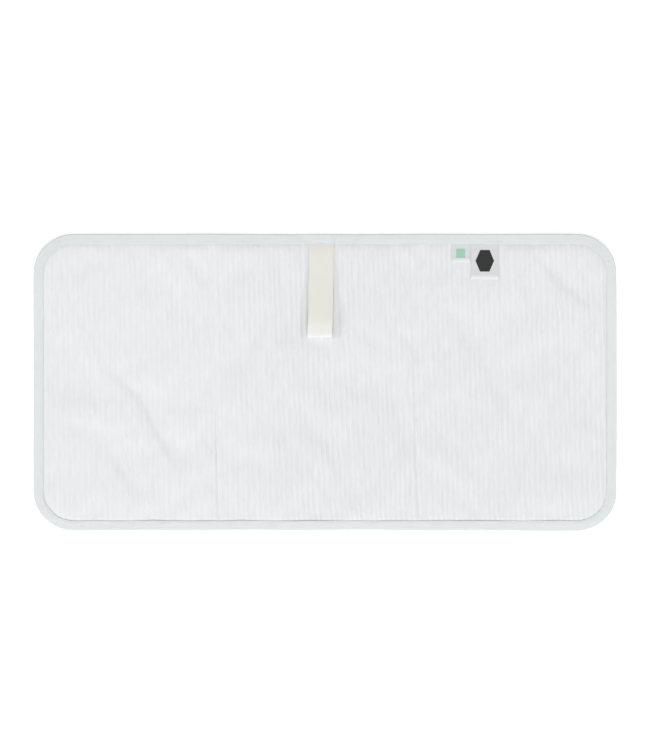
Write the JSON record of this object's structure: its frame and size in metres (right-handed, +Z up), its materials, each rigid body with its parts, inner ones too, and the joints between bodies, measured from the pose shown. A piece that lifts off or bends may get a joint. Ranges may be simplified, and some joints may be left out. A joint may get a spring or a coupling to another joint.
{
  "type": "changing pad",
  "caption": "Flat padded mat that folds in panels, with a ribbed soft face, waterproof backing, bound edge, elastic closing loop and sewn-in labels.",
  "frame": {"origin": "centre of the open mat's underside, on the surface it lies on", "axes": "+X along the mat's length towards the labelled panel, +Y towards the edge with the loop, +Z up out of the soft face"},
  "size_m": [0.7, 0.356, 0.0148],
  "materials": {
    "ribbed_cotton": "matte ribbed knit",
    "polyester_wadding": "matte loft",
    "coated_backing": "satin coated weave",
    "binding_tape": "matte plain weave",
    "needle_thread": "spun thread",
    "bobbin_thread": "spun thread",
    "cream_elastic": "matte woven elastic",
    "woven_label": "satin woven label",
    "care_label": "satin ribbon label"
  },
  "bodies": {
    "center_panel": {"face_center": "ribbed_cotton", "wadding_center": "polyester_wadding", "backing_center": "coated_backing", "binding_top": "binding_tape", "binding_bottom": "binding_tape", "needle_thread_top": "needle_thread", "needle_thread_bottom": "needle_thread", "bobbin_thread_top": "bobbin_thread", "bobbin_thread_bottom": "bobbin_thread", "loop_tail": "cream_elastic"},
    "left_panel": {"face_left": "ribbed_cotton", "wadding_left": "polyester_wadding", "backing_left": "coated_backing", "binding_left": "binding_tape", "needle_thread_left": "needle_thread", "bobbin_thread_left": "bobbin_thread"},
    "right_panel": {"face_right": "ribbed_cotton", "wadding_right": "polyester_wadding", "backing_right": "coated_backing", "binding_right": "binding_tape", "needle_thread_right": "needle_thread", "bobbin_thread_right": "bobbin_thread", "woven_label_tail": "woven_label", "care_label_tail": "care_label"},
    "loop": {"closure_loop": "cream_elastic"},
    "woven_label": {"woven_label": "woven_label"},
    "care_label": {"care_label": "care_label"}
  },
  "joints": [
    {"name": "left_fold", "type": "hinge", "parent": "center_panel", "child": "left_panel", "pos_m": [-0.132, 0, 0.0104], "axis": [0, 1, 0], "range_deg": [0, 180]},
    {"name": "right_fold", "type": "hinge", "parent": "center_panel", "child": "right_panel", "pos_m": [0.113, 0, 0.0144], "axis": [0, -1, 0], "range_deg": [0, 180]},
    {"name": "loop_flip", "type": "hinge", "parent": "center_panel", "child": "loop", "pos_m": [-0.005, 0.163, 0.0072], "axis": [-1, 0, 0], "range_deg": [0, 175]},
    {"name": "woven_label_flip", "type": "hinge", "parent": "right_panel", "child": "woven_label", "pos_m": [0.19185, 0.164, 0.00615], "axis": [-1, 0, 0], "range_deg": [0, 175]},
    {"name": "care_label_flip", "type": "hinge", "parent": "right_panel", "child": "care_label", "pos_m": [0.1627, 0.164, 0.00615], "axis": [-1, 0, 0], "range_deg": [0, 175]}
  ]
}
